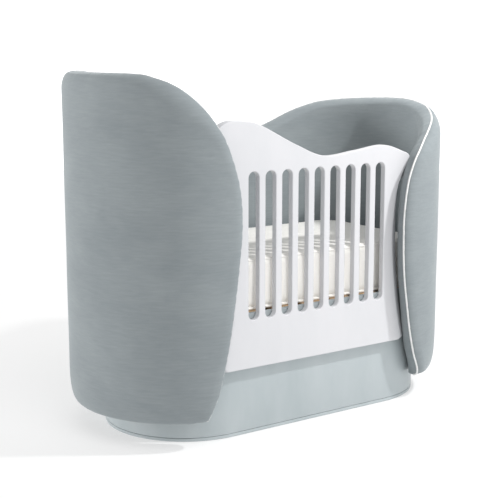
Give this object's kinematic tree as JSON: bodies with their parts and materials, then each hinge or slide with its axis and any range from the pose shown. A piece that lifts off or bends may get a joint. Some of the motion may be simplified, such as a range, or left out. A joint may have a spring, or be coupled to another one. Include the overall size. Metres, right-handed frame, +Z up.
{
  "type": "toddler bed",
  "caption": "Cot bed with tall velvet-covered walls wrapping an oval painted plinth, a white slatted front panel with a waved top, and a loose mattress on slats.",
  "frame": {"origin": "on the floor, at the lower face of the glide under the middle of the plinth", "axes": "+X along the bed from the head wall to the foot wall, +Y from the slatted front to the upholstered back, +Z up"},
  "size_m": [1.646, 0.86, 1.3666],
  "materials": {
    "velvet": "short pile velvet, pale grey-blue",
    "piping": "woven white piping",
    "lacquer": "white satin lacquer on board",
    "paint": "pale grey-blue satin paint",
    "plywood": "sanded birch plywood",
    "beech": "planed beech",
    "linen": "cream linen cover",
    "lining": "black dust cover cloth",
    "steel": "zinc-plated",
    "plastic": "moulded nylon"
  },
  "bodies": {
    "bed": {"back_ledger": "beech", "foot_back_post": "beech", "foot_cleat": "lacquer", "foot_dust_cover": "lining", "foot_end_post": "beech", "foot_former_1": "plywood", "foot_former_2": "plywood", "foot_front_post": "beech", "foot_inner_board": "plywood", "foot_inner_pad": "velvet", "foot_join_post": "beech", "foot_ledger": "beech", "foot_mount_block": "beech", "foot_outer_board": "plywood", "foot_outer_pad": "velvet", "foot_piping": "piping", "foot_rim_pad": "velvet", "front_ledger": "beech", "front_panel": "lacquer", "glide_1": "plastic", "glide_2": "plastic", "glide_3": "plastic", "glide_4": "plastic", "glide_5": "plastic", "head_back_post": "beech", "head_cleat": "lacquer", "head_dust_cover": "lining", "head_end_post": "beech", "head_former_1": "plywood", "head_former_2": "plywood", "head_front_post": "beech", "head_inner_board": "plywood", "head_inner_pad": "velvet", "head_join_post": "beech", "head_ledger": "beech", "head_mount_block": "beech", "head_outer_board": "plywood", "head_outer_pad": "velvet", "head_piping": "piping", "head_rim_pad": "velvet", "mattress_slat_1": "beech", "mattress_slat_2": "beech", "mattress_slat_3": "beech", "mattress_slat_4": "beech", "mattress_slat_5": "beech", "mattress_slat_6": "beech", "mattress_slat_7": "beech", "mattress_slat_8": "beech", "mattress_slat_9": "beech", "panel_bolt_1": "steel", "panel_bolt_2": "steel", "panel_bolt_3": "steel", "panel_bolt_4": "steel", "plinth_floor": "plywood", "plinth_rib_1": "plywood", "plinth_rib_2": "plywood", "plinth_skin": "paint", "plinth_strip": "paint"},
    "mattress": {"mattress": "linen"}
  },
  "joints": [
    {"name": "mattress_lift", "type": "slide", "parent": "bed", "child": "mattress", "axis": [0, 0, 1], "range_m": [0, 0.8]}
  ]
}
